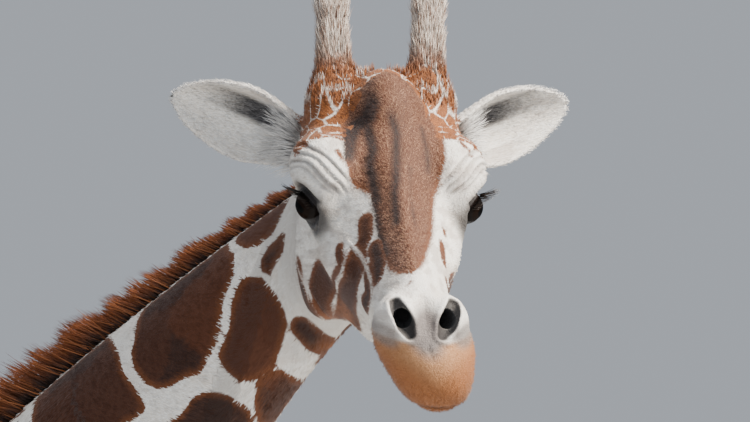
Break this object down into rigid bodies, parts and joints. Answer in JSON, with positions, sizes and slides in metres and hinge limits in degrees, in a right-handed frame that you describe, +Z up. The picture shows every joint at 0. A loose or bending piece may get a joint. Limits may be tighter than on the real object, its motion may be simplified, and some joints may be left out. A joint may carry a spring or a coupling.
{
  "type": "reticulated giraffe",
  "caption": "Still, life-size standing reticulated giraffe cow that looks round to her right, with short horns, a brush mane and a tasselled tail.",
  "frame": {"origin": "on the floor, under the middle of the whole animal's bounding box", "axes": "+X is the way the trunk faces, +Y is the animal's left, +Z is up"},
  "size_m": [3.1496, 0.7744, 3.9714],
  "materials": {
    "coat": "short smooth hair, rust-brown patches with fine cream lines",
    "pale_coat": "short cream-white hair, longer and brown-tipped on the ossicones",
    "mane": "stiff upright rust-brown hair with bright tips",
    "tail_hair": "long black-brown hair",
    "eye": "wet and glossy, very dark brown",
    "hoof": "dull grey-brown horn with growth rings"
  },
  "bodies": {
    "root": {"head": "coat", "neck": "coat", "trunk": "coat", "tail": "coat", "foreleg_left": "coat", "foreleg_right": "coat", "hindleg_left": "coat", "hindleg_right": "coat", "ear_left": "pale_coat", "ossicone_left": "pale_coat", "eye_left": "eye", "ear_right": "pale_coat", "ossicone_right": "pale_coat", "eye_right": "eye", "mane": "mane", "tail_tuft": "tail_hair", "hoof_fore_left_outer": "hoof", "hoof_fore_left_inner": "hoof", "hoof_fore_right_outer": "hoof", "hoof_fore_right_inner": "hoof", "hoof_hind_left_outer": "hoof", "hoof_hind_left_inner": "hoof", "hoof_hind_right_outer": "hoof", "hoof_hind_right_inner": "hoof"}
  },
  "joints": []
}
